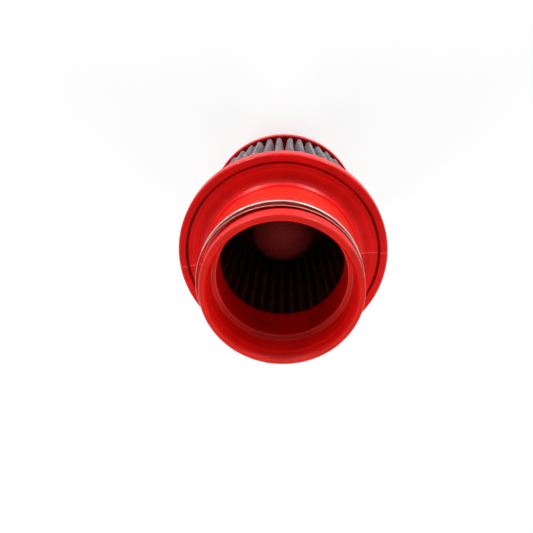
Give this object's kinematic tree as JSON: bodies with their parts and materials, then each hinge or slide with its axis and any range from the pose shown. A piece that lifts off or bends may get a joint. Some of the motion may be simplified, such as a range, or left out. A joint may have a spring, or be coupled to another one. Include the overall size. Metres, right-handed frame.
{
  "type": "cone air filter",
  "caption": "Conical pleated air filter with a moulded neck and flange, a cap with an inward dome, and a loose worm-drive hose clamp on the neck.",
  "frame": {"origin": "centre of the cap's outer face, on the surface that the filter stands on", "axes": "+Z along the filter's axis from the cap to the mouth of the neck, +Y towards the clamp's housing, +X the way the clamp screw's head points"},
  "size_m": [0.122, 0.122, 0.148],
  "materials": {
    "base_polyurethane": "cast red polyurethane, slight gloss",
    "cap_polyurethane": "cast red polyurethane, slight gloss",
    "outer_mesh_steel": "coated fine wire mesh over red gauze",
    "gauze_cotton": "oiled cotton gauze",
    "inner_mesh_steel": "coated fine wire mesh",
    "band_steel": "rolled stainless strip",
    "housing_steel": "pressed stainless sheet",
    "screw_steel": "zinc plated steel"
  },
  "bodies": {
    "filter": {"base_moulding": "base_polyurethane", "top_cap": "cap_polyurethane", "outer_wire_mesh": "outer_mesh_steel", "cotton_gauze": "gauze_cotton", "inner_wire_mesh": "inner_mesh_steel", "clamp_band": "band_steel", "clamp_housing": "housing_steel"},
    "screw": {"clamp_screw": "screw_steel"}
  },
  "joints": [
    {"name": "clamp_screw_turn", "type": "hinge", "parent": "filter", "child": "screw", "pos_m": [0, 0.0478, 0.1342], "axis": [1, 0, 0], "continuous": true}
  ]
}
